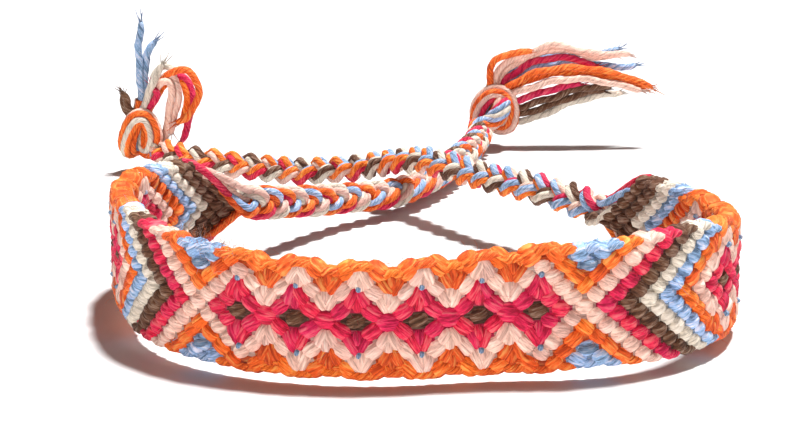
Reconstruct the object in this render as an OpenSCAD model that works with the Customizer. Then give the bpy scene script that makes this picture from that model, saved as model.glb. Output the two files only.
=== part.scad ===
// Friendship bracelet of knotted cotton string, lying in an open loop.
// The woven band stands on its long edge as a wall around the empty wrist space.
// A plait leaves each pointed end, crosses the other one and ends in an overhand knot with a tassel.
// Millimetres. Origin: bottom centre of the band's box. +Z up, the band's front faces -Y.

/* [Band] */
// Thickness of the woven wall
band_t = 2.3; // [1.8:0.1:2.8]
// Nominal height of the band, before the small differences of the section table
band_h = 10.8; // [9:0.2:13]
// Bevel along the band's four long edges
band_bevel = 0.6; // [0.2:0.1:0.8]
// Length of each pointed end
point_l = 3.6; // [2:0.2:6]
// Height left at the blunt tip of a pointed end
tip_h = 2.6; // [2:0.2:4]

/* [Rows of knots] */
// Length along the band of one row in the diamond stretches
diamond_row = 1.37; // [1.1:0.01:1.6]
// Length along the band of one row in the chevron stretches
chevron_row = 1.03; // [0.8:0.01:1.3]
// Depth of the edge scallops in the diamond stretches
diamond_scallop = 0.6; // [0:0.1:1]
// Depth of the edge scallops in the chevron stretches
chevron_scallop = 0.2; // [0:0.1:0.5]
// How far the edge of a row runs ahead of its middle
row_bow = 0.8; // [0:0.1:1.5]

/* [Plaits] */
// Diameter of each plait
plait_d = 3.3; // [2.6:0.1:3.3]
// Gap between a plait and the face it meets
meet_gap = 0.12; // [0.05:0.01:0.3]
// Sides of the plait tubes and tassel locks
cord_sides = 8; // [8:1:12]

/* [Knots] */
// Width of the knot at the end of the left plait
knot_left_w = 5.6; // [5:0.1:6.4]
// Height of the knot at the end of the left plait
knot_left_h = 7.4; // [6.8:0.1:8]
// Width of the knot at the end of the right plait
knot_right_w = 4.8; // [4.4:0.1:5.4]
// Height of the knot at the end of the right plait
knot_right_h = 7.8; // [7:0.1:8.4]
// Thickness of the bundle wrapped around a knot
wrap_d = 1.8; // [1.4:0.1:2]

/* [Tassels] */
// Diameter of a tassel lock at its root
lock_d = 1.9; // [1.4:0.1:2.2]
// Share of that diameter left at a lock's tip
lock_taper = 0.6; // [0.4:0.05:0.9]

/* [Hidden] */
// Bends of the wall's middle line from the left tip to the right tip.
// columns: arc length, radius (positive turns left, negative turns right)
BENDS = [
    [5, 6],
    [9, 50],
    [8, 15],
    [13, 80],
    [15, 20],
    [21, 28],
    [11, -60],
    [20, 18],
    [18, 21],
    [13, 32]
];
// Heading of the middle line at the left tip, degrees from +X
START_TURN = -173.7;
// Sections of the wall, along the middle line with 0 at the front.
// columns: place s, lift of the lower edge, height above the nominal one
SECTIONS = [
    [-66, 0, 0],
    [-54, 0.9, 0],
    [-45, 0.9, 0],
    [-30, 1, 1.2],
    [-24, 0.5, 1.1],
    [-17, 0.3, 0.6],
    [-12, 0, 0.5],
    [0, 0, 0],
    [14, 0, 1.3],
    [19, 0.5, 1.1],
    [25, 0.3, 1.7],
    [30, 0.3, 1.9],
    [45, 0.1, -0.2],
    [66, 0.4, -0.3]
];
// Rows of knots between the middle of the front and a tip, the same on both sides.
// columns: last row of the stretch, 1 for diamonds and 0 for chevrons
STRETCHES = [
    [10, 1],
    [28, 0],
    [44, 1],
    [56, 0]
];
// Route of the left plait after its first piece. columns: x, y, z of its axis
ROUTE_LEFT = [
    [-17.2, 24.5, 5.2],
    [-15.2, 26.8, 4.7],
    [-13.4, 29.6, 4.1],
    [-10.6, 33.9, 3.2],
    [-6.7, 39.0, 2.4],
    [-1.7, 43.8, 1.8],
    [2, 49.5, 1.8],
    [5.5, 58.2, 1.8],
    [8.7, 68, 1.8],
    [10.5, 76, 1.9],
    [11.3, 81.9, 2.3]
];
// Route of the right plait after its first piece
ROUTE_RIGHT = [
    [19.1, 18.6, 6],
    [17.7, 20.9, 6.1],
    [15.8, 23.8, 6.2],
    [12.5, 27.4, 6.4],
    [8.4, 32.2, 6.4],
    [4.4, 38.6, 6.3],
    [0.6, 44.6, 5.7],
    [-6.2, 51.4, 3.3],
    [-12.7, 56, 1.9],
    [-18, 58.9, 1.8],
    [-23.2, 61.5, 1.8],
    [-27.5, 64.4, 1.8],
    [-31.2, 68.1, 2]
];
// Floor points of the two knots
KNOT_LEFT_AT = [12.4, 84.8, 0];
KNOT_RIGHT_AT = [-33.2, 70.1, 0];
// Locks of the left tassel, from the top of its knot. columns: x, y, z
LOCKS_LEFT = [
    [[0.2, 0, 1.6], [1.8, 0.4, 3.2], [4.2, 0.9, 4.1], [8, 1.2, 4.5], [13, 1, 3.8], [18, 0.4, 1.9], [21.6, 0, -0.3]],
    [[0.2, 0.2, 1.5], [3.2, 0.2, 2.1], [8, 0, 2.5], [13, -0.2, 2.4], [17, 0.2, 2.9], [19.4, 0.6, 3.7]],
    [[0.3, -0.2, 1.4], [3.8, -0.8, 0.9], [6.8, -1.3, -0.6], [10, -1.6, -1.5], [14, -1.4, -1.4], [17, -0.8, -0.8]]
];
// Locks of the right tassel, from the top of its knot
LOCKS_RIGHT = [
    [[-0.1, 0, 1.3], [-0.5, 0.3, 3], [-0.8, 0.5, 6.5], [-0.4, 0.3, 10.2]],
    [[-0.2, -0.1, 1.3], [-1.4, -0.6, 1.9], [-2.7, -1, 3]],
    [[0.2, 0.1, 1.4], [1.1, 0.7, 3], [1.5, 1.1, 5.6], [1.8, 0.9, 8]],
    [[0.3, -0.1, 1.4], [2.3, -0.7, 3.8], [4.6, -1, 4.9], [6.5, -0.9, 3.6], [6.9, -0.6, 0.4], [5.5, -0.4, -3.2]]
];
half_l = sum([for (b = BENDS) b[0]]) / 2;
rows = STRETCHES[len(STRETCHES) - 1][0];
row_fit = half_l / raw_place(rows);
// Height of the short head that the locks of a tassel share, and its radius as a share of its knot's core
HEAD_H = 1.7;
HEAD_SHARE = 0.55;

// Sum of a list
function sum(v, i = 0) = i < len(v) ? v[i] + sum(v, i + 1) : 0;

// Length of the stretches up to row r, before the fit to the band's length
function raw_place(r, i = 0, from = 0) =
    i >= len(STRETCHES) ? 0 :
    (min(r, STRETCHES[i][0]) - from) * (STRETCHES[i][1] == 1 ? diamond_row : chevron_row)
    + (r > STRETCHES[i][0] ? raw_place(r, i + 1, STRETCHES[i][0]) : 0);

// Place along the middle line of row r, with rows counted from the front to both sides
function row_place(r) = sign(r) * raw_place(abs(r)) * row_fit;

// 1 in a diamond stretch, 0 in a chevron stretch
function is_diamond(r, i = 0) =
    abs(r) <= STRETCHES[i][0] || i == len(STRETCHES) - 1 ? STRETCHES[i][1] : is_diamond(r, i + 1);

// How deep the edge is cut in beside row r
function notch(r) = is_diamond(r) == 1
    ? diamond_scallop * (1 - abs(sin(45 * r)))
    : chevron_scallop * (1 - abs(sin(90 * r)));

// [x, y, heading] where every bend starts, and one more entry where the last one ends
starts = [
    for (i = 0, p = [0, 0, START_TURN]; i <= len(BENDS); p = i < len(BENDS) ? step(p, BENDS[i][0], BENDS[i][1]) : p, i = i + 1) p
];

// Goes a length l along an arc of radius r
function step(p, l, r) =
    let (a = p[2] + l / r * 180 / PI)
    [p[0] + r * (sin(a) - sin(p[2])), p[1] - r * (cos(a) - cos(p[2])), a];

// [x, y, heading] at a distance d from the left tip
function along(d, i = 0) =
    i == len(BENDS) - 1 || d <= BENDS[i][0] ? step(starts[i], d, BENDS[i][1]) : along(d - BENDS[i][0], i + 1);

// Shift that puts the middle of the band's plan box on the origin
faces = [
    for (d = [0:0.5:2 * half_l], side = [-1, 1])
        let (p = along(d)) [p[0] + side * band_t / 2 * sin(p[2]), p[1] - side * band_t / 2 * cos(p[2])]
];
shift = [
    (min([for (f = faces) f[0]]) + max([for (f = faces) f[0]])) / 2,
    (min([for (f = faces) f[1]]) + max([for (f = faces) f[1]])) / 2
];

// [x, y, heading] of the middle line at place s, in the part's frame
function middle(s) = let (p = along(s + half_l)) [p[0] - shift[0], p[1] - shift[1], p[2]];

// Lower edge and height of the wall at place s, without scallops or points
function lift(s) = lookup(s, [for (c = SECTIONS) [c[0], c[1]]]);
function tall(s) = band_h + lookup(s, [for (c = SECTIONS) [c[0], c[2]]]);

// Share of the full height that is left at place s, less than 1 in the pointed ends
function share(s) = min(1, (tip_h + (tall(s) - tip_h) * (half_l - abs(s)) / point_l) / tall(s));

// Bevelled section of the wall beside row r
function section(r) =
    let (
        s = row_place(r),
        p = middle(s),
        edge_r = r - row_bow / (is_diamond(r) == 1 ? diamond_row : chevron_row),
        mid = lift(s) + tall(s) / 2,
        half = tall(s) / 2 * share(s) - (share(s) < 1 ? 0 : notch(edge_r)),
        b = min(band_bevel, half * 0.6),
        t = band_t / 2
    )
    [
        for (q = [
            [t - b, -half],
            [t, -half + b],
            [t, half - b],
            [t - b, half],
            [-t + b, half],
            [-t, half - b],
            [-t, -half + b],
            [-t + b, -half]
        ])
            [p[0] + q[0] * sin(p[2]), p[1] - q[0] * cos(p[2]), max(0, mid + q[1])]
    ];

// Closed skin over a list of rings with n points each
function skin(n, rings) = concat(
    [[for (j = [n - 1:-1:0]) j]],
    [for (i = [0:rings - 2], j = [0:n - 1]) let (k = (j + 1) % n) [i * n + j, i * n + k, (i + 1) * n + k]],
    [for (i = [0:rings - 2], j = [0:n - 1]) let (k = (j + 1) % n) [i * n + j, (i + 1) * n + k, (i + 1) * n + j]],
    [[for (j = [0:n - 1]) (rings - 1) * n + j]]
);

// Point at fraction u between points b and c of a smooth curve through a, b, c and d
function blend(a, b, c, d, u) =
    ((2 * b) + (c - a) * u + (2 * a - 5 * b + 4 * c - d) * u * u + (3 * b - a - 3 * c + d) * u * u * u) / 2;

// Smooth curve through the points of a route, m pieces to each of its stretches
function smooth(v, m) = concat(
    [
        for (i = [0:len(v) - 2], j = [0:m - 1])
            blend(v[max(0, i - 1)], v[i], v[i + 1], v[min(len(v) - 1, i + 2)], j / m)
    ],
    [v[len(v) - 1]]
);

// Faces turned the other way round
function flipped(faces) = [for (f = faces) [for (k = [len(f) - 1:-1:0]) f[k]]];

// Direction of a curve at its point i
function aim(c, i) =
    let (d = c[min(len(c) - 1, i + 1)] - c[max(0, i - 1)]) d / norm(d);

// Ring of n points around point i of a curve; side is a direction the curve never takes
function ring(c, i, r, n, side) =
    let (
        d = aim(c, i),
        u = cross(d, side) / norm(cross(d, side)),
        w = cross(d, u)
    )
    [for (j = [0:n - 1]) c[i] + r * (cos(360 * j / n) * u + sin(360 * j / n) * w)];

// Round tube along a curve, its radius going from r0 to r1
module tube(c, r0, r1, side) {
    n = cord_sides;
    last = len(c) - 1;
    polyhedron(
        points = [for (i = [0:last]) each ring(c, i, r0 + (r1 - r0) * i / last, n, side)],
        faces = flipped(skin(n, last + 1)),
        convexity = 8
    );
}

// First points of a plait: just off the face of the tip, then straight on. end is -1 or 1
function leave(end) =
    let (
        p = middle(end * half_l),
        z = lift(end * half_l) + tall(end * half_l) / 2,
        go = end * [cos(p[2]), sin(p[2]), 0]
    )
    [for (d = [meet_gap, 0.8, 1.6]) [p[0], p[1], z] + d * go];

// One plait of three bundles, from the tip of the band to its knot
module plait(end, route) {
    tube(smooth(concat(leave(end), route), 3), plait_d / 2, plait_d / 2, [0, 0, 1]);
}

// Radius of the core of a knot of width w
function core_r(w) = w / 2 - wrap_d * 0.3;

// Barrel-shaped core of a knot with flat ends
module barrel(r, h) {
    n = 20;
    // columns: height as a share of the whole, radius as a share of the widest
    outline = [[0, 0.6], [0.12, 0.88], [0.32, 1], [0.68, 1], [0.88, 0.88], [1, 0.6]];
    polyhedron(
        points = [
            for (c = outline, j = [0:n - 1])
                [c[1] * r * cos(360 * j / n), c[1] * r * sin(360 * j / n), c[0] * h]
        ],
        faces = flipped(skin(n, len(outline))),
        convexity = 4
    );
}

// Overhand knot: a core with three slanted wraps of the bundle
module overhand(w, h) {
    barrel(core_r(w), h);
    // columns: height of the wrap as a share of the knot, slant, turn
    for (wrap = [[0.33, 18, 20], [0.52, -25, 62], [0.69, 20, 130]])
        translate([0, 0, wrap[0] * h])
            rotate([0, 0, wrap[2]])
                rotate([wrap[1], 0, 0])
                    rotate_extrude($fn = 20)
                        translate([w / 2 - wrap_d / 2, 0])
                            circle(d = wrap_d, $fn = 10);
}

// Locks of a tassel fused to a short head on the flat top of its knot
module tassel(locks, w) {
    head = core_r(w) * HEAD_SHARE;
    translate([0, 0, meet_gap])
        cylinder(h = HEAD_H, r1 = head, r2 = head * 0.95, $fn = 20);
    for (lock = locks)
        tube(smooth(lock, 4), lock_d / 2, lock_d / 2 * lock_taper, [0, 1, 0]);
}

module band() {
    stations = [for (r = [-rows:0.5:rows]) r];
    color([0.93, 0.5, 0.4])
        polyhedron(
            points = [for (r = stations) each section(r)],
            faces = skin(8, len(stations)),
            convexity = 10
        );
}

module braid_left() {
    color([0.95, 0.62, 0.45])
        plait(-1, ROUTE_LEFT);
}

module braid_right() {
    color([0.95, 0.62, 0.45])
        plait(1, ROUTE_RIGHT);
}

module knot_left() {
    color([0.9, 0.45, 0.3])
        translate(KNOT_LEFT_AT)
            overhand(knot_left_w, knot_left_h);
}

module knot_right() {
    color([0.9, 0.45, 0.3])
        translate(KNOT_RIGHT_AT)
            overhand(knot_right_w, knot_right_h);
}

module tassel_left() {
    color([0.97, 0.75, 0.6])
        translate(KNOT_LEFT_AT + [0, 0, knot_left_h])
            tassel(LOCKS_LEFT, knot_left_w);
}

module tassel_right() {
    color([0.97, 0.75, 0.6])
        translate(KNOT_RIGHT_AT + [0, 0, knot_right_h])
            tassel(LOCKS_RIGHT, knot_right_w);
}

band();
braid_left();
braid_right();
knot_left();
knot_right();
tassel_left();
tassel_right();
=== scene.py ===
"""Friendship bracelet: a knotted cotton band in an open loop, its plaits, overhand knots and tassels."""

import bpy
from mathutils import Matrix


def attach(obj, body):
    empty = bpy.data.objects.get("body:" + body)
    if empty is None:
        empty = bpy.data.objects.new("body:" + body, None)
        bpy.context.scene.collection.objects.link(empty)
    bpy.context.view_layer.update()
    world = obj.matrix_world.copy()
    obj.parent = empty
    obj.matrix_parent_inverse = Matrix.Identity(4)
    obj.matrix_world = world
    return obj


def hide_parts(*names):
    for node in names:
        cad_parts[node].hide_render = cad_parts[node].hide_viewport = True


bl_info = {
    "name": "Friendship Bracelet",
    "version": (1, 0, 0),
    "blender": (4, 5, 0),
    "location": "View3D > Sidebar > Bracelet",
    "description": "Knotted cotton bracelet with diamonds, chevrons, plaits and tassels",
    "category": "Object",
}

import math

import bpy
import numpy as np
from mathutils import Matrix, Vector

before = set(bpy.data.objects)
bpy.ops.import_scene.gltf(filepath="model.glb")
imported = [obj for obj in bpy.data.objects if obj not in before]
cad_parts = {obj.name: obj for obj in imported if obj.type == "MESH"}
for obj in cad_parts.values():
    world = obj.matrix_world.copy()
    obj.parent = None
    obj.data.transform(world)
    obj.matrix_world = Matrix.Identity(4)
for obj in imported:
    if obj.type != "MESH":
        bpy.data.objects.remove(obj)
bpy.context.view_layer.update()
MM = 0.001
SEED = 11

# Bends of the band's middle line from the left tip, columns: arc length, radius, in mm
BENDS = [(5, 6), (9, 50), (8, 15), (13, 80), (15, 20), (21, 28), (11, -60), (20, 18), (18, 21), (13, 32)]
START_TURN = math.radians(-173.7)
# Sections of the band, columns: place, lift of the lower edge, height above the nominal one
SECTIONS = [
    (-66, 0, 0), (-54, 0.9, 0), (-45, 0.9, 0), (-30, 1, 1.2), (-24, 0.5, 1.1), (-17, 0.3, 0.6),
    (-12, 0, 0.5), (0, 0, 0), (14, 0, 1.3), (19, 0.5, 1.1), (25, 0.3, 1.7), (30, 0.3, 1.9),
    (45, 0.1, -0.2), (66, 0.4, -0.3),
]
# Rows between the middle and a tip, columns: last row of the stretch, length of a row
STRETCHES = [(10, 1.37), (28, 1.03), (44, 1.37), (56, 1.03)]
FRONT_END, CHEVRON_END, SIDE_END, ROWS = [stretch[0] for stretch in STRETCHES]
# Row on which the chevrons change their direction
CROSSING = 14
# Tracks from the upper edge to the lower one, and the one in the middle
TRACKS = 12
MID = TRACKS // 2
# Thickness and usual height of the band
BAND_T, BAND_H = 2.3, 10.8
# How far the ends of a row are ahead of its middle
ROW_BOW = 0.8
# Depth of the notches in the band's edges, in the diamond stretches and in the chevron stretches
NOTCH_DIAMOND, NOTCH_CHEVRON = 0.6, 0.2
# Half of the core that the knots sit on: across in tracks, and through the band in mm
CORE_WIDE, CORE_DEEP = 5.25, 0.72
# Radius of the strings that turn back along the edges
EDGE_R = 0.44
# Twist of a string's plies, in radians for each mm
TWIST = 1.7
# Least room under a string that lies down
LIE = 0.05

# Routes of the plaits after their first straight piece, in mm
ROUTE_LEFT = [
    (-17.2, 24.5, 5.2), (-15.2, 26.8, 4.7), (-13.4, 29.6, 4.1), (-10.6, 33.9, 3.2), (-6.7, 39, 2.4),
    (-1.7, 43.8, 1.8), (2, 49.5, 1.8), (5.5, 58.2, 1.8), (8.7, 68, 1.8), (10.5, 76, 1.9),
    (11.3, 81.9, 2.3),
]
ROUTE_RIGHT = [
    (19.1, 18.6, 6), (17.7, 20.9, 6.1), (15.8, 23.8, 6.2), (12.5, 27.4, 6.4), (8.4, 32.2, 6.4),
    (4.4, 38.6, 6.3), (0.6, 44.6, 5.7), (-6.2, 51.4, 3.3), (-12.7, 56, 1.9), (-18, 58.9, 1.8),
    (-23.2, 61.5, 1.8), (-27.5, 64.4, 1.8), (-31.2, 68.1, 2),
]
KNOT_LEFT = (12.4, 84.8, 0)
KNOT_RIGHT = (-33.2, 70.1, 0)

# The twelve strings of each plait, columns: yarn, track at the band's end, bundle, place in the bundle
STRINGS_LEFT = [
    ("pink", 0.5, 1, 1), ("peach", 1.3, 0, 0), ("peach", 2.1, 1, 3),
    ("orange", 3, 2, 1), ("blue", 3.9, 2, 0), ("cream", 4.8, 0, 1),
    ("blue", 6, 2, 2), ("brown", 7, 0, 2), ("cream", 8, 0, 3),
    ("orange", 9.2, 1, 0), ("orange", 10.4, 2, 3), ("pink", 11.4, 1, 2),
]
STRINGS_RIGHT = [
    ("pink", 0.4, 0, 0), ("pink", 1.2, 2, 3), ("blue", 2.2, 0, 2),
    ("blue", 3.2, 2, 2), ("cream", 4.4, 1, 2), ("cream", 5.4, 1, 0),
    ("brown", 6.6, 1, 1), ("brown", 7.6, 1, 3), ("peach", 8.6, 0, 3),
    ("peach", 9.6, 2, 0), ("orange", 10.7, 0, 1), ("orange", 11.6, 2, 1),
]
# Loose ends of the right plait's tassel, from the top of its knot, columns: yarn, points of its way in mm
ENDS_RIGHT = [
    ("blue", [(-0.5, 0, -0.2), (-0.4, 0.1, 2.5), (-0.6, 0.2, 5.4), (-0.6, 0.2, 7.3), (-0.3, 0.1, 9.3),
        (-0.3, 0, 10.7)]),
    ("blue", [(-0.2, 0.4, -0.2), (0.1, 0.5, 2.7), (0.2, 0.6, 5.3), (0.6, 0.6, 6.9), (1.7, 0.5, 8.2)]),
    ("brown", [(-1.5, -0.6, -1), (-2.1, -0.9, -0.1), (-2.3, -1, 1.1), (-2.9, -1, 1.9)]),
    ("brown", [(-1.8, 0.2, -1.5), (-2.5, 0, -0.6), (-2.8, 0, 0.4), (-2.7, 0, 1.4)]),
    ("pink", [(0.5, -0.5, -0.3), (1.3, -0.8, 0.6), (1.7, -0.8, 1.6), (1.2, -0.7, 2.4)]),
    ("cream", [(0.2, 0.3, -0.2), (0.9, 0.6, 2.1), (1.5, 0.7, 3.8), (2.6, 0.7, 5), (3.6, 0.6, 4.5),
        (3.9, 0.5, 3.2)]),
    ("peach", [(0.4, 0, -0.4), (1.3, -0.1, 1.5), (2.4, -0.2, 2.9), (3.3, -0.2, 2.8), (3.6, -0.2, 1.2),
        (3, -0.1, -1.4), (2.5, 0.1, -5.2)]),
    ("peach", [(0.3, 0.4, -0.3), (1.2, 0.5, 2.2), (2.5, 0.4, 3.6), (3.7, 0.4, 3.5), (4.4, 0.3, 1.8),
        (4, 0.2, -0.8), (3.3, 0.2, -3.8)]),
    ("orange", [(0.6, 0.1, -0.4), (1.5, 0.2, 2), (2.9, 0.2, 3.8), (4.4, 0.1, 4.5), (6.1, 0, 4.1),
        (7, -0.1, 2.4), (6.8, -0.2, 0.4), (5.7, -0.3, -1.4), (4, -0.3, -2.3)]),
    ("orange", [(0.7, 0.7, -0.4), (1.8, 0.9, 1.3), (3.4, 1, 2.9), (5, 1, 2.4), (5.6, 0.9, 0.4),
        (4.7, 0.5, -1.8)]),
    ("pink", [(0.5, 0.6, -0.5), (1.7, 1, 2.1), (3.3, 1.2, 3.5), (5, 1.2, 3.3), (6, 1.1, 2),
        (6.1, 0.9, -0.3), (5.5, 0.7, -2.9), (4.6, 0.6, -5)]),
    ("cream", [(0.1, -0.6, -0.1), (0.7, -0.9, 1.6), (1.3, -1, 3.2), (1.9, -1, 4.5), (2.6, -1, 5.4)]),
]
# Loose ends of the left plait's tassel
ENDS_LEFT = [
    ("orange", [(0.1, -0.5, -1.3), (0.1, -0.6, 0.5), (0.3, -0.6, 2.4), (1.1, -0.5, 3.8), (2.6, -0.4, 4.5),
        (4.2, -0.3, 4.6), (5.9, -0.2, 4.8)]),
    ("peach", [(0.8, -0.2, -1.4), (0.9, -0.2, 0.4), (1.3, -0.1, 2.2), (2.6, 0, 3.4), (5.1, 0.2, 4.3),
        (7.8, 0.3, 5.4), (10, 0.4, 5.5), (12.4, 0.4, 4.7), (15.4, 0.4, 4.3), (19.3, 0.3, 4.2)]),
    ("peach", [(1.2, 0.3, -1.5), (1.6, 0.5, 0.6), (2.6, 0.7, 2.2), (4.9, 0.9, 3.4), (7.9, 1, 4.6),
        (10.6, 1, 4.8), (13.9, 1, 3.9), (17, 0.9, 3.8)]),
    ("pink", [(1.6, 0.2, -1.3), (2.4, 0.3, 0.8), (4.3, 0.4, 2.2), (6.8, 0.5, 3.4), (9.5, 0.5, 3.8),
        (12.2, 0.4, 3.5), (14.9, 0.3, 2.5)]),
    ("orange", [(1.6, -0.6, -1.4), (2.6, -0.9, 0), (4.5, -1, 1.2), (6.9, -1, 2.1), (9.9, -0.9, 2.6),
        (13.1, -0.8, 2.5), (16.3, -0.7, 2), (19.4, -0.5, 1), (22.2, -0.3, -0.1)]),
    ("orange", [(1.9, -0.1, -1.7), (3.2, -0.2, -0.3), (5.4, -0.2, 0.8), (8.1, -0.2, 1.6),
        (11.1, -0.2, 1.9), (14.1, -0.1, 1.7), (17.2, 0, 1.2), (20, 0.1, 0.3), (21.6, 0.2, -0.5)]),
    ("peach", [(2.1, -0.7, -1.8), (3.3, -1.2, -0.9), (5.9, -1.4, 0.1), (9, -1.4, 0.9), (12.1, -1.3, 1.2),
        (15.3, -1.1, 0.8), (18.5, -0.9, 0.1), (20.8, -0.7, -0.5)]),
    ("pink", [(2.3, -0.5, -2.4), (3.7, -0.9, -1.9), (5.9, -1, -1.2), (8.1, -1, -0.5), (10.5, -0.9, 0.1),
        (12.5, -0.8, 0.4)]),
    ("brown", [(2.6, -0.3, -2.9), (4.5, -0.5, -2.8), (7.9, -0.6, -1.8), (11.1, -0.6, -0.7),
        (14.1, -0.5, -0.1), (16.8, -0.4, -0.2)]),
    ("brown", [(2.6, 0.1, -3.7), (4.5, 0, -3.9), (7.9, 0, -2.9), (11.1, 0, -1.7), (13.9, 0.1, -0.9),
        (15.9, 0.2, -0.6)]),
    ("cream", [(2.5, 0.3, -4.2), (4.4, 0.3, -4.9), (7.3, 0.4, -4.2), (10.2, 0.5, -2.9), (12.6, 0.6, -2.1),
        (15.4, 0.7, -1.5), (18.4, 0.8, -1.1)]),
    ("blue", [(1.4, 0.8, -1.4), (2.5, 1.3, 1), (5, 1.7, 2.6), (8.3, 1.9, 3.6), (11.8, 1.9, 4),
        (14.9, 1.8, 4.2), (18, 1.7, 4.7)]),
    ("blue", [(1.9, 0.7, -1.5), (3.3, 1.2, 0.3), (5.8, 1.6, 1.9), (9.4, 1.8, 2.8), (13, 1.8, 2.9),
        (16.3, 1.7, 2.4), (20.4, 1.6, 2.4)]),
]
# Ways of the bundles through the overhand knots, from the knots' floor points in mm
WAY_LEFT = [
    (-1.1, -2.9, 2.3), (0.3, -2.9, 3), (1.5, -2.7, 4.4), (1.9, -1.2, 5.4), (1.9, 0.6, 4.6),
    (1.5, 1.5, 2.6), (-0.6, 1.2, 2), (-1.4, -0.4, 3), (-1.1, -0.9, 5), (0.3, -1, 6.5), (2.1, -1, 6.3),
    (3, -0.9, 4.4), (2.6, -0.7, 2.2), (1, 0.2, 2.2), (0.8, 0.6, 4.6), (1.6, 0.3, 6.2),
]
WAY_RIGHT = [
    (1.9, -1.9, 2), (0.9, 0.5, 2.2), (-1, 1.2, 2.1), (-2.2, -0.1, 2), (-2.1, -1, 3.9), (-1.1, -1.2, 6),
    (0.3, -1.2, 6.1), (1.2, -1, 4.1), (0.8, -0.6, 2), (-0.2, 0.5, 2.4), (-0.5, 0.7, 5.2), (0, 0.2, 8.4),
]
# Yarns round the bundle of each overhand knot
ROUND_LEFT = ("orange", "peach", "cream", "pink", "blue", "brown",
              "cream", "blue", "orange", "orange", "peach", "pink")
ROUND_RIGHT = ("peach", "orange", "pink", "cream", "orange", "brown",
               "orange", "blue", "blue", "peach", "cream", "brown")

# Roll of each plait's wide face, columns: distance from the band in mm, degrees
ROLL_LEFT = ((0, 92), (16, 100), (24, 125), (30, 155), (36, 150), (50, 120))
ROLL_RIGHT = ((0, 100), (6, 70), (14, 45), (28, 40), (37, 22), (46, 40), (60, 50), (76, 60))

# The six yarns, columns: how dark the painted shade in the hollows between the fibres is, how light the
# painted highlight on the ridges is
YARNS = {
    "orange": (0.50, 0.36),
    "peach": (0.62, 0.60),
    "pink": (0.45, 0.15),
    "brown": (0.40, 0.20),
    "cream": (0.55, 0.50),
    "blue": (0.38, 0.60),
}
YARN_NUMBER = {yarn: k for k, yarn in enumerate(YARNS)}
# Yarns of the chevrons in their order, and of the band's points towards the tips
CHEVRON_YARNS = ("blue", "orange", "peach", "pink", "brown", "cream", "blue", "orange", "peach")
POINT_YARNS = ("pink", "peach", "orange", "blue", "cream", "brown")


def measure(name, description, value, least, most):
    return bpy.props.FloatProperty(
        name=name, description=description, default=value, min=least, max=most, unit="LENGTH", precision=5)


class BraceletSizes(bpy.types.PropertyGroup):
    """Sizes of the strings and knots."""

    string_d: measure("String", "Diameter of one cotton string", 0.00084, 0.0005, 0.0012)
    pad_scale: bpy.props.FloatProperty(
        name="Knot size", description="Size of the band's knots against the room they have",
        default=1.0, min=0.8, max=1.2)
    plait_pitch: measure(
        "Plait pitch", "Length in which a bundle crosses the plait and comes back", 0.0078, 0.005, 0.02)
    plait_swing: measure("Plait swing", "How far a bundle swings out to each side", 0.00102, 0.0006, 0.0016)
    fuzz_count: bpy.props.IntProperty(
        name="Loose fibres", description="Number of short fibres that stand off the band",
        default=760, min=0, max=2000)
    relief: measure("Fibre relief", "Depth of the fibres in the surface", 0.00012, 0, 0.0003)


def yarn_colour(name, value):
    return bpy.props.FloatVectorProperty(
        name=name, description=f"Colour of the {name.lower()} string in even light",
        default=value, subtype="COLOR", size=3, min=0, max=1)


class BraceletColours(bpy.types.PropertyGroup):
    """Colours of the six strings."""

    orange: yarn_colour("Orange", (0.96, 0.145, 0.012))
    peach: yarn_colour("Peach", (0.91, 0.58, 0.48))
    pink: yarn_colour("Pink", (0.76, 0.010, 0.080))
    brown: yarn_colour("Brown", (0.14, 0.056, 0.026))
    cream: yarn_colour("Cream", (0.80, 0.72, 0.60))
    blue: yarn_colour("Blue", (0.313, 0.504, 0.811))


def strength(name, source, value):
    return bpy.props.FloatProperty(
        name=name, description=f"Strength of the {source}", default=value, min=0, max=20)


class BraceletLight(bpy.types.PropertyGroup):
    """Strength of the studio light."""

    sky: strength("Sky", "surroundings", 0.08)
    top: strength("Top light", "light above", 6.6)
    side: strength("Side light", "light on the right", 0.3)
    front: strength("Front light", "light in front", 2.4)


# Shape of the band


def turn_along(state, length, radius):
    """Point and direction after an arc."""
    x, y, a = state
    b = a + length / radius
    return x + radius * (math.sin(b) - math.sin(a)), y - radius * (math.cos(b) - math.cos(a)), b


def along(d):
    """Point and direction of the middle line at a distance from the left tip."""
    state = (0.0, 0.0, START_TURN)
    for i, (length, radius) in enumerate(BENDS):
        if d <= length or i == len(BENDS) - 1:
            return turn_along(state, d, radius)
        state = turn_along(state, length, radius)
        d -= length


HALF_L = sum(b[0] for b in BENDS) / 2


def plan_shift():
    """Middle of the band's box, seen from above."""
    faces = []
    for d in np.arange(0, 2 * HALF_L + 0.01, 0.5):
        x, y, a = along(d)
        for side in (-BAND_T / 2, BAND_T / 2):
            faces.append((x + side * math.sin(a), y - side * math.cos(a)))
    faces = np.array(faces)
    return (faces.min(0) + faces.max(0)) / 2


SHIFT = plan_shift()


def middle(s):
    """Point and direction of the middle line at a place s, counted from the band's middle."""
    x, y, a = along(s + HALF_L)
    return x - SHIFT[0], y - SHIFT[1], a


def raw_place(row):
    """Place of a row, before the rows are fitted to the band's length."""
    total, start = 0.0, 0
    for last, length in STRETCHES:
        total += (min(row, last) - start) * length
        if row <= last:
            return total
        start = last
    return total + (row - start) * STRETCHES[-1][1]


ROW_FIT = HALF_L / raw_place(ROWS)


def row_place(row, track=0):
    """Place of a row along the band; its middle lags its edges a little."""
    return math.copysign(raw_place(abs(row)) * ROW_FIT, row) + ROW_BOW * ((track - MID) / MID) ** 2


def section(s, column):
    return float(np.interp(s, [c[0] for c in SECTIONS], [c[column] for c in SECTIONS]))


def lift(s):
    return section(s, 1)


def tall(s):
    return BAND_H + section(s, 2)


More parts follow.
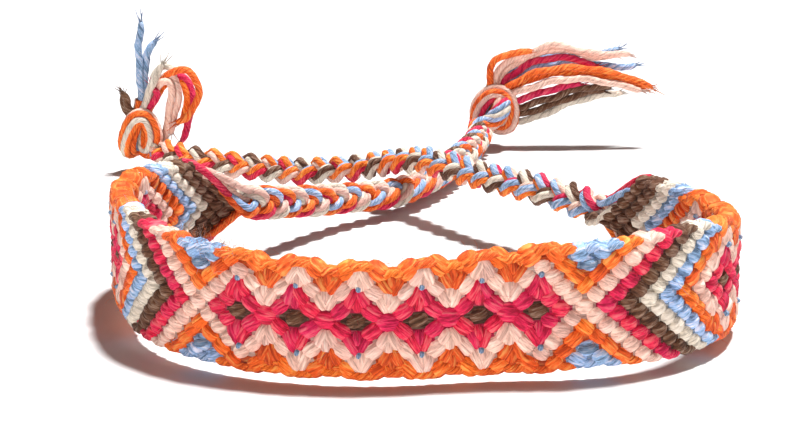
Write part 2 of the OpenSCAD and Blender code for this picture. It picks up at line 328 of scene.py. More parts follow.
def place(s, z, n):
    """Point of the frame in mm at place s, height z and distance n outside the middle line."""
    x, y, a = middle(s)
    return np.array((x + n * math.sin(a), y - n * math.cos(a), z))


def band_ways(s):
    """Directions along the band and out of its face at place s."""
    a = middle(s)[2]
    return np.array((math.cos(a), math.sin(a), 0)), np.array((math.sin(a), -math.cos(a), 0))


def spot(row, track, n=0.0):
    """Point of the frame in mm at a row and track, a distance n outside the middle line."""
    s = row_place(row, track)
    return place(s, lift(s) + tall(s) * (1 - track / TRACKS), n)


def is_diamond(row):
    return abs(row) <= FRONT_END or CHEVRON_END <= abs(row) <= SIDE_END


def notch(row):
    """Depth that the band's edges pull in at a row."""
    if is_diamond(row):
        return NOTCH_DIAMOND * (1 - abs(math.sin(math.radians(45 * row))))
    return NOTCH_CHEVRON * (1 - abs(math.sin(math.radians(90 * row))))


def chart(row, track):
    """Yarn of the knot in a row and track: diamonds, with chevrons between them, and the points."""
    a, off = abs(row), abs(track - MID)
    if a >= SIDE_END:
        return POINT_YARNS[min(len(POINT_YARNS) - 1, (a + off - SIDE_END) // 2)]
    if FRONT_END <= a < CHEVRON_END:
        return CHEVRON_YARNS[(abs(a - CROSSING) - off) // 2 + 2]
    if row % 2:
        return ("orange", "peach", "pink")[(5 - off) // 2]
    if row % 4 == 2:
        return {0: "brown", 2: "pink", 4: "peach"}[off]
    return {0: "pink", 2: "peach", 4: "orange"}[off]


# Meshes of many strings


def unit(v):
    return v / np.linalg.norm(v)


def units(rows):
    return rows / np.linalg.norm(rows, axis=1)[:, None]


def smooth(points, pieces):
    """Smooth curve through points, the same as in the part's source."""
    v = np.array(points, float)
    out = []
    for i in range(len(v) - 1):
        a, b, c, d = v[max(0, i - 1)], v[i], v[i + 1], v[min(len(v) - 1, i + 2)]
        for j in range(pieces):
            u = j / pieces
            bend, skew = 2 * a - 5 * b + 4 * c - d, 3 * b - a - 3 * c + d
            out.append((2 * b + (c - a) * u + bend * u * u + skew * u**3) / 2)
    out.append(v[-1])
    return np.array(out)


def distances(curve):
    """Distance of each point from the start, along the curve."""
    return np.concatenate(([0], np.cumsum(np.linalg.norm(np.diff(curve, axis=0), axis=1))))


def even(curve, step):
    """The same curve with points a step apart, and their distances from its start."""
    run = distances(curve)
    count = max(2, int(round(run[-1] / step)) + 1)
    at = np.linspace(0, run[-1], count)
    return np.stack([np.interp(at, run, curve[:, k]) for k in range(3)], 1), at


def carried_axes(curve):
    """Two directions across a curve that turn no more than they must."""
    t = units(np.gradient(curve, axis=0))
    a = np.array((0, 0, 1.0))
    a = a - t[0] * a.dot(t[0])
    if np.linalg.norm(a) < 1e-3:
        a = np.array((1.0, 0, 0)) - t[0] * t[0][0]
    sides = []
    for k in t:
        a = unit(a - k * a.dot(k))
        sides.append(a)
    return np.array(sides), np.cross(t, sides)


class Strings:
    """Gathers tubes of string, each with its yarn, and makes one mesh object of them."""

    def __init__(self):
        self.verts, self.faces, self.mats, self.fibre, self.tint = [], [], [], [], []
        self.count = 0

    def add(self, yarn, curve, radius, sides=9, twist=TWIST, plies=3, tint=0.5):
        """One closed tube; its radius may change along it, and the plies wind round it as low ridges."""
        a, b = carried_axes(curve)
        run = distances(curve)
        radii = np.broadcast_to(np.asarray(radius, float), (len(curve),))
        psi = np.arange(sides) * 2 * math.pi / sides
        turn = psi[None, :] + twist * run[:, None]
        r = radii[:, None] * (1 + (0.07 * np.cos(plies * turn) if plies else 0))
        across, up = (r * np.cos(psi))[:, :, None], (r * np.sin(psi))[:, :, None]
        ring = curve[:, None] + across * a[:, None] + up * b[:, None]
        round_run = np.broadcast_to(run[:, None], turn.shape)
        fibre = np.stack((round_run, 0.42 * np.cos(turn), 0.42 * np.sin(turn)), 2)
        n, base = len(curve), self.count
        self.verts.append(ring.reshape(-1, 3))
        self.fibre.append(fibre.reshape(-1, 3))
        self.tint.append(np.full(n * sides, tint))
        i, j = np.meshgrid(np.arange(n - 1) * sides, np.arange(sides), indexing="ij")
        k = (j + 1) % sides
        quads = np.stack((i + j, i + k, i + sides + k, i + sides + j), 2).reshape(-1, 4)
        faces = (quads + base).tolist()
        faces.append([base + s for s in range(sides - 1, -1, -1)])
        faces.append([base + (n - 1) * sides + s for s in range(sides)])
        self.faces += faces
        self.mats += [YARN_NUMBER[yarn]] * len(faces)
        self.count += n * sides

    def make(self, name):
        verts, fibre, tint = (np.concatenate(part) for part in (self.verts, self.fibre, self.tint))
        mesh = new_mesh(name, verts, self.faces, fibre)
        add_values(mesh, "tint", tint)
        paint_faces(mesh, self.mats)
        return add_object(name, mesh)


def add_values(mesh, name, values):
    """A number or a vector for each point of a mesh, as an attribute."""
    values = np.asarray(values, np.float32)
    kind, key = ("FLOAT_VECTOR", "vector") if values.ndim == 2 else ("FLOAT", "value")
    mesh.attributes.new(name, kind, "POINT").data.foreach_set(key, values.ravel())


def paint_faces(mesh, mats):
    for yarn in YARNS:
        mesh.materials.append(cotton(yarn))
    mesh.polygons.foreach_set("material_index", mats)


def new_mesh(name, verts, faces, fibre):
    """Smooth mesh from points in mm, with the place of each point in its fibres."""
    mesh = bpy.data.meshes.new(name)
    mesh.from_pydata((np.asarray(verts) * MM).tolist(), [], faces)
    mesh.polygons.foreach_set("use_smooth", [True] * len(mesh.polygons))
    add_values(mesh, "fibre", fibre)
    mesh.update()
    return mesh


def add_object(name, data):
    obj = bpy.data.objects.new(name, data)
    bpy.context.scene.collection.objects.link(obj)
    return obj


def finish_piece(obj, node):
    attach(obj, "root")
    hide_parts(node)
    return obj


# Cotton


def socket(group, name, kind, way, value=None):
    made = group.interface.new_socket(name=name, in_out=way, socket_type=f"NodeSocket{kind}")
    if value is not None:
        made.default_value = value


def add_node(tree, kind, inputs=(), **settings):
    """A node with its settings; each input is a socket's name with a value or with what feeds it."""
    node = tree.nodes.new(kind)
    for key, value in settings.items():
        setattr(node, key, value)
    for key, value in inputs:
        if isinstance(value, bpy.types.NodeSocket):
            tree.links.new(value, node.inputs[key])
        else:
            node.inputs[key].default_value = value
    return node


def cotton_group():
    """Streaks of fibre along each string, coarse plies under them, their relief, and their colour with
    painted shade in the hollows and a painted highlight on the ridges.
    """
    group = bpy.data.node_groups.get("Cotton fibres")
    if group:
        return group
    group = bpy.data.node_groups.new("Cotton fibres", "ShaderNodeTree")
    for name, kind, value in (
        ("Hollow colour", "Color", (0.5, 0.1, 0.05, 1)),
        ("Body colour", "Color", (0.8, 0.3, 0.1, 1)),
        ("Ridge colour", "Color", (1, 0.6, 0.4, 1)),
        ("Fibres per mm", "Float", 5.5),
        ("Fibre length", "Float", 1.4),
        ("Relief", "Float", 0.00006),
    ):
        socket(group, name, kind, "INPUT", value)
    for name, kind in (("Colour", "Color"), ("Roughness", "Float"), ("Normal", "Vector")):
        socket(group, name, kind, "OUTPUT")
    given = add_node(group, "NodeGroupInput").outputs
    fibre = add_node(group, "ShaderNodeAttribute", attribute_name="fibre").outputs["Vector"]
    tint = add_node(group, "ShaderNodeAttribute", attribute_name="tint").outputs["Fac"]
    axes = add_node(group, "ShaderNodeSeparateXYZ", [(0, fibre)]).outputs

    def maths(operation, a, b):
        return add_node(group, "ShaderNodeMath", ((0, a), (1, b)), operation=operation).outputs[0]

    shift = maths("MULTIPLY", tint, 37.0)

    def streaks(lengthwise, across, detail, seed):
        x = maths("ADD", maths("MULTIPLY", axes[0], lengthwise), shift)
        y = maths("ADD", maths("MULTIPLY", axes[1], across), seed)
        z = maths("MULTIPLY", axes[2], across)
        at = add_node(group, "ShaderNodeCombineXYZ", ((0, x), (1, y), (2, z))).outputs[0]
        inputs = ("Vector", at), ("Scale", 1.0), ("Detail", detail), ("Roughness", 0.6)
        return add_node(group, "ShaderNodeTexNoise", inputs).outputs["Fac"]

    def from_range(value, least, most):
        inputs = ("Value", value), ("From Min", least), ("From Max", most)
        return add_node(group, "ShaderNodeMapRange", inputs).outputs[0]

    def mix(factor, a, b):
        # The colours of a mix node are its inputs 6 and 7 and its output 2
        inputs = ("Factor", factor), (6, a), (7, b)
        return add_node(group, "ShaderNodeMix", inputs, data_type="RGBA").outputs[2]

    fine = streaks(maths("DIVIDE", 1.0, given["Fibre length"]), given["Fibres per mm"], 3.0, 0.0)
    plies = streaks(0.35, 2.8, 1.0, 9.0)
    height = maths("ADD", maths("MULTIPLY", fine, 0.74), maths("MULTIPLY", plies, 0.26))
    relief = from_range(height, 0.38, 0.62)
    # Painted shade in the hollows and painted highlight on the ridges, following the height of the fibres
    colour = mix(from_range(relief, 0, 0.5), given["Hollow colour"], given["Body colour"])
    colour = mix(from_range(relief, 0.55, 1.05), colour, given["Ridge colour"])
    # Tints from 0 to 1 vary the tone at random, and tints below 0 darken it
    value = maths("ADD", maths("MULTIPLY", tint, 0.14), 0.93)
    hue = maths("ADD", maths("MULTIPLY", maths("MAXIMUM", tint, 0.0), 0.010), 0.495)
    vary = add_node(group, "ShaderNodeHueSaturation", (("Color", colour), ("Value", value), ("Hue", hue)))
    rough = maths("SUBTRACT", 0.86, maths("MULTIPLY", relief, 0.26))
    inputs = ("Strength", 1.0), ("Distance", given["Relief"]), ("Height", relief)
    bump = add_node(group, "ShaderNodeBump", inputs)
    add_node(group, "NodeGroupOutput", (
        ("Colour", vary.outputs[0]), ("Roughness", rough), ("Normal", bump.outputs[0])))
    return group


def cotton(yarn):
    """Material of one yarn."""
    name = f"cotton_{yarn}"
    mat = bpy.data.materials.get(name)
    if mat:
        return mat
    mat = bpy.data.materials.new(name)
    mat.use_nodes = True
    body = np.array(getattr(bpy.context.scene.bracelet_colours, yarn)[:])
    # The darker hollow colour is painted shade and the lighter ridge colour a painted highlight, yellower
    # on the orange yarn
    hollow, ridge = YARNS[yarn]
    warm = np.array((1, 0.8, 0.2 if yarn == "orange" else 0.6))
    inputs = (
        ("Hollow colour", (*(body**1.12 * hollow), 1)),
        ("Body colour", (*body, 1)),
        ("Ridge colour", (*(body + (1 - body) * ridge * warm), 1)),
        ("Relief", bpy.context.scene.bracelet_sizes.relief),
    )
    fibres = add_node(mat.node_tree, "ShaderNodeGroup", inputs, node_tree=cotton_group())
    shader = mat.node_tree.nodes["Principled BSDF"]
    for source, target in (("Colour", "Base Color"), ("Roughness", "Roughness"), ("Normal", "Normal")):
        mat.node_tree.links.new(fibres.outputs[source], shader.inputs[target])
    for name, value in (("Specular IOR Level", 0.35), ("Sheen Weight", 0.05), ("Sheen Roughness", 0.4)):
        shader.inputs[name].default_value = value
    mat.diffuse_color = (*body, 1)
    return mat


# Geometry Nodes that put one small shape on many points


def placing_tree():
    """Puts a shape on every point, turned and sized by the point's own values, as one real mesh."""
    tree = bpy.data.node_groups.get("Placed shapes")
    if tree:
        return tree
    tree = bpy.data.node_groups.new("Placed shapes", "GeometryNodeTree")
    socket(tree, "Points", "Geometry", "INPUT")
    socket(tree, "Shape", "Object", "INPUT")
    socket(tree, "Size", "Float", "INPUT", 1.0)
    socket(tree, "Material", "Material", "INPUT")
    socket(tree, "Mesh", "Geometry", "OUTPUT")
    given = add_node(tree, "NodeGroupInput").outputs

    def stored(name):
        inputs = [("Name", name)]
        node = add_node(tree, "GeometryNodeInputNamedAttribute", inputs, data_type="FLOAT_VECTOR")
        return node.outputs["Attribute"]

    shape = add_node(tree, "GeometryNodeObjectInfo", [("Object", given["Shape"])])
    turn = add_node(tree, "FunctionNodeEulerToRotation", [(0, stored("turn"))])
    inputs = (0, stored("size")), ("Scale", given["Size"])
    size = add_node(tree, "ShaderNodeVectorMath", inputs, operation="SCALE")
    put = add_node(tree, "GeometryNodeInstanceOnPoints", (
        ("Points", given["Points"]), ("Instance", shape.outputs["Geometry"]),
        ("Rotation", turn.outputs[0]), ("Scale", size.outputs[0])))
    real = add_node(tree, "GeometryNodeRealizeInstances", [("Geometry", put.outputs["Instances"])])
    paint = add_node(tree, "GeometryNodeSetMaterial", (
        ("Geometry", real.outputs["Geometry"]), ("Material", given["Material"])))
    add_node(tree, "NodeGroupOutput", [("Mesh", paint.outputs["Geometry"])])
    return tree


def placed(name, shape, spots, size, material):
    """Object with a shape on each of the spots, columns: position in mm, turn as a matrix, size, tint."""
    mesh = bpy.data.meshes.new(name + "_points")
    mesh.from_pydata([tuple(p[0] * MM) for p in spots], [], [])
    add_values(mesh, "turn", [Matrix(p[1].tolist()).to_euler("XYZ")[:] for p in spots])
    add_values(mesh, "size", [p[2] for p in spots])
    add_values(mesh, "tint", [p[3] for p in spots])
    obj = add_object(name, mesh)
    tree = placing_tree()
    mod = obj.modifiers.new("Placed shapes", "NODES")
    mod.node_group = tree
    names = {i.name: i.identifier for i in tree.interface.items_tree if i.in_out == "INPUT"}
    for key, value in (("Shape", shape), ("Size", size), ("Material", material)):
        mod[names[key]] = value
    result = bpy.data.meshes.new_from_object(obj.evaluated_get(bpy.context.evaluated_depsgraph_get()))
    obj.modifiers.remove(mod)
    obj.data = result
    result.name = name
    bpy.data.meshes.remove(mesh)
    result.polygons.foreach_set("use_smooth", [True] * len(result.polygons))
    return obj


def pad_shape():
    """One knot, 1 mm from its middle to each side: a rounded pad whose fibres run along X."""
    rings, sides = (-0.94, -0.76, -0.42, 0.0, 0.42, 0.76, 0.94), 10
    verts, fibre = [(-1, 0, 0)], [(-1.2, 0, 0)]
    for x in rings:
        r = (1 - abs(x) ** 2.6) ** (1 / 2.2)
        for k in range(sides):
            angle = 2 * math.pi * (k + 0.5) / sides
            c, s = math.cos(angle), math.sin(angle)
            y = math.copysign(abs(c) ** 0.95, c) * r
            z = math.copysign(abs(s) ** 0.9, s) * r
            verts.append((x, y, z))
            fibre.append((x * 1.1, y * 0.68, z * 0.1))
    verts.append((1, 0, 0))
    fibre.append((1.2, 0, 0))
    faces = [(0, 1 + (k + 1) % sides, 1 + k) for k in range(sides)]
    for i in range(len(rings) - 1):
        a, b = 1 + i * sides, 1 + (i + 1) * sides
        faces += [(a + k, a + (k + 1) % sides, b + (k + 1) % sides, b + k) for k in range(sides)]
    a, end = 1 + (len(rings) - 1) * sides, len(verts) - 1
    faces += [(a + k, a + (k + 1) % sides, end) for k in range(sides)]
    return add_object("knot_pad", new_mesh("knot_pad", verts, faces, fibre))


# Operators


class BRACELET_OT_stage(bpy.types.Operator):
    """Pale floor, studio light and the camera"""

    bl_idname = "bracelet.stage"
    bl_label = "Stage"

    def execute(self, context):
        scene, light = context.scene, context.scene.bracelet_light
        camera = add_object("camera", bpy.data.cameras.new("camera"))
        camera.data.lens = 101.07
        camera.data.sensor_width = 36
        camera.data.clip_start = 0.01
        camera.data.clip_end = 20
        camera.location = (-0.00770, -0.21739, 0.06116)
        camera.rotation_euler = (math.radians(90 - 13.421), 0, math.radians(-1.523))
        scene.camera = camera

        world = bpy.data.worlds.new("warm_surroundings")
        world.use_nodes = True
        sky = world.node_tree.nodes["Background"]
        sky.inputs["Color"].default_value = (1, 0.5, 0.4, 1)
        sky.inputs["Strength"].default_value = light.sky
        scene.world = world
        scene.view_settings.view_transform = "Standard"
        scene.view_settings.look = "None"

        floor_z = -0.0011
        corners = [(x, y, floor_z) for x, y in ((-3, -3), (3, -3), (3, 6), (-3, 6))]
        mesh = bpy.data.meshes.new("floor")
        mesh.from_pydata(corners, [], [(0, 1, 2, 3)])
        floor = add_object("floor", mesh)
        mat = bpy.data.materials.new("pale_table")
        mat.use_nodes = True
        shader = mat.node_tree.nodes["Principled BSDF"]
        shader.inputs["Base Color"].default_value = (0.76, 0.76, 0.76, 1)
        shader.inputs["Roughness"].default_value = 0.45
        mesh.materials.append(mat)

        # columns: name, strength, width in degrees, colour, direction that it comes from
        for name, power, width, colour, way in (
            ("top_light", light.top, 7, (1, 1, 1), (0.2, 0.12, 1)),
            ("side_light", light.side, 30, (1, 1, 1), (0.9, 0.1, 1)),
            ("front_light", light.front, 30, (1, 0.91, 0.87), (-0.3, -1, 0.06)),
        ):
            lamp = bpy.data.lights.new(name, "SUN")
            lamp.energy, lamp.angle, lamp.color = power, math.radians(width), colour
            add_object(name, lamp).rotation_euler = Vector(way).to_track_quat("Z", "Y").to_euler()
        return {"FINISHED"}


def leave(end):
    """First points of a plait, just off the band's tip and straight on, and its direction."""
    s = end * HALF_L
    x, y, _ = middle(s)
    tip = np.array((x, y, lift(s) + tall(s) / 2))
    go = end * band_ways(s)[0]
    return [tip + d * go for d in (0.12, 0.8, 1.6)], go


def plait_strings(strings, roots, end, route, table, roll, pitch, swing, radius):
    """Twelve strings that leave the band's pointed end, gather, and plait in three bundles of four.
    The stretch of each that is still spread out goes to roots, the rest to strings.
    Gives back the plait's middle line and its length."""
    step = 0.25
    first, go = leave(end)
    line, run = even(smooth(first + [np.array(p) for p in route], 12), step)
    t = units(np.gradient(line, axis=0))
    side = units(np.cross(t, (0, 0, 1.0)))
    angle = np.radians(np.interp(run, [r[0] for r in roll], [r[1] for r in roll]))[:, None]
    wide = np.cos(angle) * side + np.sin(angle) * np.cross(side, t)
    deep = np.cross(t, wide)
    reach_w, reach_d = swing + 0.82, 1.45
    stand = np.sqrt((reach_w * wide[:, 2]) ** 2 + (reach_d * deep[:, 2]) ** 2)
    middle_line = line.copy()
    middle_line[:, 2] = np.maximum(line[:, 2], stand + LIE)
    rng = np.random.default_rng(SEED + (end > 0))
    # Distance from the plait's line at which a string is still spread out, and the points looked at
    spread_out, near = 2.7, 60
    for yarn, track, bundle, seat in table:
        phase = 2 * math.pi * (run / pitch + bundle / 3) + 0.3 * np.sin(run * 0.31 + end)
        swell = 1 + 0.05 * np.sin(run * 0.47 + bundle) + 0.14 * np.exp(-((run - 4) / 5) ** 2)
        turn = (math.pi / 2 * seat + 0.8 + 0.3 * np.sin(phase) + 0.045 * run)[:, None]
        w = swing * (np.sin(phase) - 0.04 * np.sin(3 * phase)) * swell
        d = -0.64 * np.sin(2 * phase) * swell
        bundle_line = middle_line + w[:, None] * wide + d[:, None] * deep
        own_side = units(np.cross(deep, np.gradient(bundle_line, axis=0)))
        plaited = bundle_line + 0.42 * np.cos(turn) * own_side + 0.36 * np.sin(turn) * deep
        off = abs(track - MID)
        gather = int(round((1.2 + 0.5 * off / MID + 0.5 * rng.random()) / step))
        inner = -0.25 + 0.3 * math.sin(track * 2.4)
        root = spot(end * (ROWS - off - 0.1), track, inner)
        target = plaited[gather]
        reach = float(np.linalg.norm(target - root))
        u = np.linspace(0, 1, max(6, int(reach / step)))[:, None]
        start_way = go * reach * 0.9
        end_way = t[gather] * reach * 0.6
        lead = ((2 * u**3 - 3 * u**2 + 1) * root + (u**3 - 2 * u**2 + u) * start_way
                + (-2 * u**3 + 3 * u**2) * target + (u**3 - u**2) * end_way)
        curve = np.concatenate((lead[:-1], plaited[gather:]))
        curve[:, 2] = np.maximum(curve[:, 2], radius + LIE)
        far = np.linalg.norm(curve[:, None] - line[None, :near], axis=2).min(1)[:near] > spread_out
        spread = int(np.nonzero(far)[0].max()) + 1 if far.any() else 0
        tint = rng.random()
        if spread > 1:
            roots.add(yarn, curve[: spread + 1], radius, tint=tint)
        strings.add(yarn, curve[spread:], radius, tint=tint)
    return line, run[-1]


class BRACELET_OT_plaits(bpy.types.Operator):
    """Both plaits, from the band's pointed ends to their knots"""

    bl_idname = "bracelet.plaits"
    bl_label = "Plaits"

    def execute(self, context):
        sizes = context.scene.bracelet_sizes
        radius = sizes.string_d / MM / 2
        pitch, swing = sizes.plait_pitch / MM, sizes.plait_swing / MM
        # columns: node, end of the band, route, strings, roll
        for node, end, route, table, roll in (
            ("braid_left", -1, ROUTE_LEFT, STRINGS_LEFT, ROLL_LEFT),
            ("braid_right", 1, ROUTE_RIGHT, STRINGS_RIGHT, ROLL_RIGHT),
        ):
            strings, roots = Strings(), Strings()
            line, length = plait_strings(strings, roots, end, route, table, roll, pitch, swing, radius)
            finish_piece(roots.make(f"spread_of_{node}"), "band")
            obj = finish_piece(strings.make(f"plait_of_{node}"), node)
            obj["route"] = [float(v) for v in (line * MM).ravel()]
            obj["length"] = float(length * MM)
        return {"FINISHED"}


class BRACELET_OT_overhand_knots(bpy.types.Operator):
    """Overhand knots at the ends of the plaits"""

    bl_idname = "bracelet.overhand_knots"
    bl_label = "Overhand knots"

    def execute(self, context):
        radius = context.scene.bracelet_sizes.string_d / MM / 2
        # columns: node, floor point, way, roll of the bundle, length of the plait's end in it, yarns
        for node, at, points, roll, plait_end, order in (
            ("knot_left", KNOT_LEFT, WAY_LEFT, 0.4, 6.0, ROUND_LEFT),
            ("knot_right", KNOT_RIGHT, WAY_RIGHT, 0.3, 0.0, ROUND_RIGHT),
        ):
            strings = Strings()
            rng = np.random.default_rng(SEED + len(node))
            line, run = even(smooth(np.array(points) + at, 8), 0.3)
            a, b = carried_axes(line)
            untwist = 0.75 * np.maximum(plait_end - run, 0)
            for k, yarn in enumerate(order):
                ring = 0.36 if k % 3 == 2 else 0.86
                angle = 2 * math.pi * k / len(order) + 0.12 * run + roll - untwist
                curve = line + ring * (np.cos(angle)[:, None] * a + np.sin(angle)[:, None] * b)
                curve[:, 2] = np.maximum(curve[:, 2], radius + LIE)
                strings.add(yarn, curve, radius, tint=rng.random())
            finish_piece(strings.make(f"overhand_of_{node}"), node)
        return {"FINISHED"}


class BRACELET_OT_tassels(bpy.types.Operator):
    """Loose string ends behind the knots, each frayed at its tip"""

    bl_idname = "bracelet.tassels"
    bl_label = "Tassels"

    def execute(self, context):
        radius = context.scene.bracelet_sizes.string_d / MM / 2
        # columns: node, floor point of the knot, height of the knot's top, loose ends
        for node, at, high, table in (
            ("tassel_left", KNOT_LEFT, 7.4, ENDS_LEFT),
            ("tassel_right", KNOT_RIGHT, 7.8, ENDS_RIGHT),
        ):
            strings = Strings()
            rng = np.random.default_rng(SEED + 5 + len(node))
            for yarn, points in table:
                way = np.array(points, float) + at + (0, 0, high)
                start = way[0] - unit(way[1] - way[0])
                line, run = even(smooth(np.concatenate(([start], way)), 8), 0.35)
                wobble = 0.10 * np.sin(run[:, None] * 1.3 + rng.random(3) * 6)
                line = line + wobble * np.minimum(1, run / 3)[:, None]
                line[:, 2] = np.maximum(line[:, 2], radius + 2 * LIE)
                taper = 0.6 + 0.4 * np.clip((run[-1] - run) / 1.2, 0, 1) ** 0.5
                strings.add(yarn, line, 1.16 * radius * taper, tint=rng.random())
                heading = unit(line[-1] - line[-4])
                for _ in range(7):
                    spread = rng.normal(0, 0.28, 3)
                    length = 0.7 + 0.9 * rng.random()
                    base = line[-2] + rng.normal(0, 0.12, 3)
                    tip = base + (heading + spread) * length
                    bend = (base + tip) / 2 + rng.normal(0, 0.08, 3)
                    tip[2], bend[2] = max(tip[2], 2 * LIE), max(bend[2], 2 * LIE)
                    fray = smooth((base, bend, tip), 3)
                    strings.add(yarn, fray, np.linspace(0.10, 0.03, 7), sides=4, twist=1.6, plies=0,
                                tint=rng.random())
            finish_piece(strings.make(f"ends_of_{node}"), node)
        for side in ("left", "right"):
            obj = bpy.data.objects[f"plait_of_braid_{side}"]
            del obj["route"], obj["length"]
        return {"FINISHED"}


class BRACELET_OT_band_core(bpy.types.Operator):
    """The strings inside the band, which show between its knots"""

    bl_idname = "bracelet.band_core"
    bl_label = "Band core"

    def execute(self, context):
        verts, fibre, faces, mats = [], [], [], []
        across = 12
        ring = 2 * (across + 1)
        for row in range(-ROWS, ROWS + 1):
            half = min(CORE_WIDE, ROWS - abs(row) + 0.25)
            for side in (1, -1):
                for j in range(across + 1):
                    track = MID + half * (2 * j / across - 1) * side
                    verts.append(spot(row, track, side * CORE_DEEP))
                    fibre.append((row_place(row), track * 0.9, 0))
            if row == ROWS:
                break
            first = (row + ROWS) * ring
            for j in range(ring):
                k = (j + 1) % ring
                faces.append((first + ring + j, first + ring + k, first + k, first + j))
                cell = j if j <= across else 2 * across + 1 - j
                track = MID + half * (2 * min(cell + 0.5, across) / across - 1)
                track = int(round(min(TRACKS - 1, max(1, track))))
                most = ROWS - abs(track - MID)
                knot_row = max(-most, min(most, row + (row + track) % 2))
                mats.append(YARN_NUMBER[chart(knot_row, track)])
        last = 2 * ROWS * ring
        faces += [tuple(range(ring)), tuple(range(last + ring - 1, last - 1, -1))]
        mats += [YARN_NUMBER["brown"]] * 2
        mesh = new_mesh("band_core", verts, faces, fibre)
        # The core is darkened as painted shade in the gaps between the knots
        dark = -3.2
        add_values(mesh, "tint", np.full(len(verts), dark))
        paint_faces(mesh, mats)
        finish_piece(add_object("band_core", mesh), "band")
        return {"FINISHED"}


def knot_pads(row, track):
    """Pads of one knot, columns: shift along, shift up, slant in degrees, half length, half width."""
    off, upper = abs(track - MID), 1 if track < MID else -1
    if is_diamond(row) and not (abs(row) == FRONT_END and off >= 3) and abs(row) != SIDE_END:
        if row % 2:
            slant = (34 if row % 4 == 1 else -34) * upper
            return [(0, 0, slant, 1.16, 0.90)]
        if off == 0:
            return [(0, 0, 20, 1.04, 0.74)] if row % 4 == 2 else [(0, 0, 0, 1.25, 1.04)]
        point_down = (row % 4 == 0) == (upper > 0)
        lean, sink = (-64, -0.34) if point_down else (64, 0.34)
        away, leg = (0.3 * upper, 1.16) if row % 4 == 0 and off == 2 else (0, 1.30)
        return [(-0.46, sink + away, lean, leg, 0.68), (0.46, sink + away, -lean, leg, 0.68),
                (0, away - 0.5 * sink, 90, 1.0, 0.6)]
    slope = math.copysign(1, row) * (1 if abs(row) >= CROSSING else -1) * upper
    if off == 0:
        return [(0, 0, 0, 0.98, 0.86)]
    if chart(row, track) == "orange":
        return [(0, 0, slope * 38, 1.14, 0.78)]
    return [(0, 0, -slope * 22, 0.98, 0.84)]


def pad_turn(s, slant):
    """Turn of a pad that lies on the band's face at place s, slanted by an angle in degrees."""
    e_s, out = band_ways(s)
    angle = math.radians(slant)
    e1 = math.cos(angle) * e_s + math.sin(angle) * np.array((0, 0, 1))
    return np.stack((e1, np.cross(out, e1), out), 1)


class BRACELET_OT_band_knots(bpy.types.Operator):
    """Every half hitch of the band, in the yarn that the chart gives"""

    bl_idname = "bracelet.band_knots"
    bl_label = "Band knots"

    def execute(self, context):
        shape = pad_shape()
        rng = np.random.default_rng(SEED)
        spots = {yarn: [] for yarn in YARNS}
        for row in range(-ROWS, ROWS + 1):
            for track in range(1, TRACKS):
                off = abs(track - MID)
                if (row + track) % 2 or abs(row) + off > ROWS:
                    continue
                s = row_place(row, track)
                z = lift(s) + tall(s) * (1 - track / TRACKS)
                tight = tall(s) / BAND_H
                # The orange knots of the V in each diamond are darker, as painted shade in the V's hollow
                painted_v_shade = 1.4 if is_diamond(row) and row % 4 == 0 and off == 4 else 0
                for along_s, up_z, slant, half_l, half_w in knot_pads(row, track):
                    turn = pad_turn(s + along_s, slant + rng.normal(0, 4))
                    at = place(s + along_s, z + up_z, rng.normal(0, 0.03))
                    grow = 1 + rng.normal(0, 0.03)
                    size = (half_l * grow, half_w * grow * tight, 1.24 + rng.normal(0, 0.03))
                    spots[chart(row, track)].append((at, turn, size, rng.random() - painted_v_shade))
        for row in range(2 - SIDE_END, SIDE_END - 1):
            # Small blue dots in the diamonds, and larger ones, darkened as painted shade, where the
            # chevrons change direction
            if is_diamond(row) and row % 4 == 2:
                tracks, slant, size, tint = (2.6, 9.4), 80, (0.42, 0.34, 1.4), -0.8
            elif abs(row) == CROSSING:
                tracks, slant, size, tint = (2.0, 10.0), 12, (0.95, 0.6, 1.5), -3
            else:
                continue
            for track in tracks:
                turn = pad_turn(row_place(row, track), slant)
                spots["blue"].append((spot(row, track, 0.02), turn, size, tint))
        size = context.scene.bracelet_sizes.pad_scale
        for yarn in YARNS:
            obj = placed(f"band_knots_{yarn}", shape, spots[yarn], size, cotton(yarn))
            finish_piece(obj, "band")
        bpy.data.objects.remove(shape)
        return {"FINISHED"}


class BRACELET_OT_edge_loops(bpy.types.Operator):
    """Strings that turn back along the band's two long edges"""

    bl_idname = "bracelet.edge_loops"
    bl_label = "Edge loops"

    def execute(self, context):
        strings = Strings()
        proud = 0.05
        rng = np.random.default_rng(SEED + 3)
        for row in range(-ROWS + MID, ROWS - MID + 1, 2):
            reach = 1.35 if is_diamond(row) and row % 4 == 2 else 1.0
            yarn = chart(row - int(math.copysign(1, row)) if row else 1, 1)
            high = tall(row_place(row)) / TRACKS
            for top in (True, False):
                dip = (0.9 if top else 0.35) * notch(row)
                # columns: distance outside the middle line, how much further in from the edge
                for n, low in ((0.72, 0.04), (0, 0), (-0.70, 0.3)):
                    apex = (dip + EDGE_R - proud + low) / high
                    points = []
                    # columns: rows further on, track, share of the distance outside the middle line
                    for rows_on, track, pull in (
                        (-1.25, 1.5, 0.8), (-0.98, 0.95, 0.8), (-0.5, apex + 0.10, 0.9), (0, apex, 0.9),
                        (0.5, apex + 0.10, 0.9), (0.98, 0.95, 0.8), (1.25, 1.5, 0.8),
                    ):
                        at = track if top else TRACKS - track
                        points.append(spot(row + rows_on * reach, at, n * pull))
                    radius = EDGE_R * (1 + rng.normal(0, 0.05))
                    strings.add(yarn, smooth(points, 4), radius, tint=rng.random(), twist=2.2)
        finish_piece(strings.make("edge_loops"), "band")
        return {"FINISHED"}


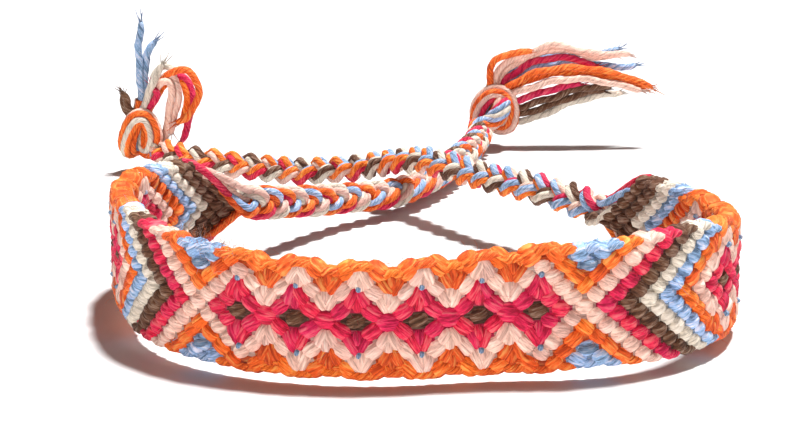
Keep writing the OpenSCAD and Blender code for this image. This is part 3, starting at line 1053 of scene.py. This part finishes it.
class BRACELET_OT_loose_fibres(bpy.types.Operator):
    """Short fibres that stand off the band's edges and faces"""

    bl_idname = "bracelet.loose_fibres"
    bl_label = "Loose fibres"

    def execute(self, context):
        rng = np.random.default_rng(SEED + 9)
        curve = smooth([(0, 0, 0), (0.3, 0.1, 0.02), (0.62, 0.05, 0.12), (1.0, 0.25, 0.1)], 2)
        hair = Strings()
        hair.add("peach", curve, np.linspace(0.013, 0.006, len(curve)), sides=3, twist=1.6, plies=0)
        shape = hair.make("hair_shape")
        spots = {yarn: [] for yarn in YARNS}
        for _ in range(context.scene.bracelet_sizes.fuzz_count):
            # A quarter of the fibres stand in one tuft on the upper edge, left of the front
            tuft = rng.random() < 0.25
            row = int(rng.integers(-17, -11)) if tuft else int(rng.integers(-48, 49))
            edge = tuft or rng.random() < 0.5
            if edge:
                upper = tuft or rng.random() < 0.7
                track, knot_track = (0.4, 1) if upper else (TRACKS - 0.4, TRACKS - 1)
                n = rng.uniform(-1, 1)
            else:
                track = knot_track = int(rng.integers(1, TRACKS))
                n = 1.12 * rng.choice((-1, 1))
            row += (row + knot_track) % 2
            at = spot(row + rng.uniform(-0.8, 0.8), track, n)
            out = band_ways(row_place(row))[1] * np.sign(n)
            away = np.array((0, 0, 1.0 if track < MID else -1.0)) if edge else out
            e1 = unit(away * 0.5 + rng.normal(0, 0.8, 3))
            if not edge and e1.dot(out) < 0.1:
                e1 = unit(e1 + out * 0.6)
            e2 = unit(np.cross(e1, rng.normal(0, 1, 3)))
            size = rng.uniform(0.8, 1.7) if tuft else rng.uniform(0.7, 2.0)
            if at[2] + e1[2] * size < 2 * LIE:
                e1[2] = abs(e1[2])
                e2 = unit(np.cross(e1, rng.normal(0, 1, 3)))
            yarn = ("peach", "orange")[int(rng.integers(2))] if tuft else chart(row, knot_track)
            spots[yarn].append((at, np.stack((e1, e2, np.cross(e1, e2)), 1), (size,) * 3, rng.random()))
        for yarn in YARNS:
            if spots[yarn]:
                obj = placed(f"loose_fibres_{yarn}", shape, spots[yarn], 1.0, cotton(yarn))
                finish_piece(obj, "band")
        bpy.data.objects.remove(shape)
        return {"FINISHED"}


class BRACELET_PT_panel(bpy.types.Panel):
    """Sizes, colours and steps of the bracelet"""

    bl_label = "Bracelet"
    bl_idname = "BRACELET_PT_panel"
    bl_space_type = "VIEW_3D"
    bl_region_type = "UI"
    bl_category = "Bracelet"

    def draw(self, context):
        for name, kind in GROUPS.items():
            box = self.layout.box()
            for key in kind.__annotations__:
                box.prop(getattr(context.scene, name), key)
        for step in STEPS:
            self.layout.operator(step.bl_idname)


GROUPS = {
    "bracelet_sizes": BraceletSizes,
    "bracelet_colours": BraceletColours,
    "bracelet_light": BraceletLight,
}
STEPS = (
    BRACELET_OT_stage,
    BRACELET_OT_plaits,
    BRACELET_OT_overhand_knots,
    BRACELET_OT_tassels,
    BRACELET_OT_band_core,
    BRACELET_OT_band_knots,
    BRACELET_OT_edge_loops,
    BRACELET_OT_loose_fibres,
)
CLASSES = (*GROUPS.values(), *STEPS, BRACELET_PT_panel)


def register():
    for cls in CLASSES:
        bpy.utils.register_class(cls)
    for name, cls in GROUPS.items():
        setattr(bpy.types.Scene, name, bpy.props.PointerProperty(type=cls))


def unregister():
    for name in GROUPS:
        delattr(bpy.types.Scene, name)
    for cls in reversed(CLASSES):
        bpy.utils.unregister_class(cls)


def main():
    register()
    for step in STEPS:
        prefix, name = step.bl_idname.split(".")
        getattr(getattr(bpy.ops, prefix), name)()


if __name__ == "__main__":
    main()
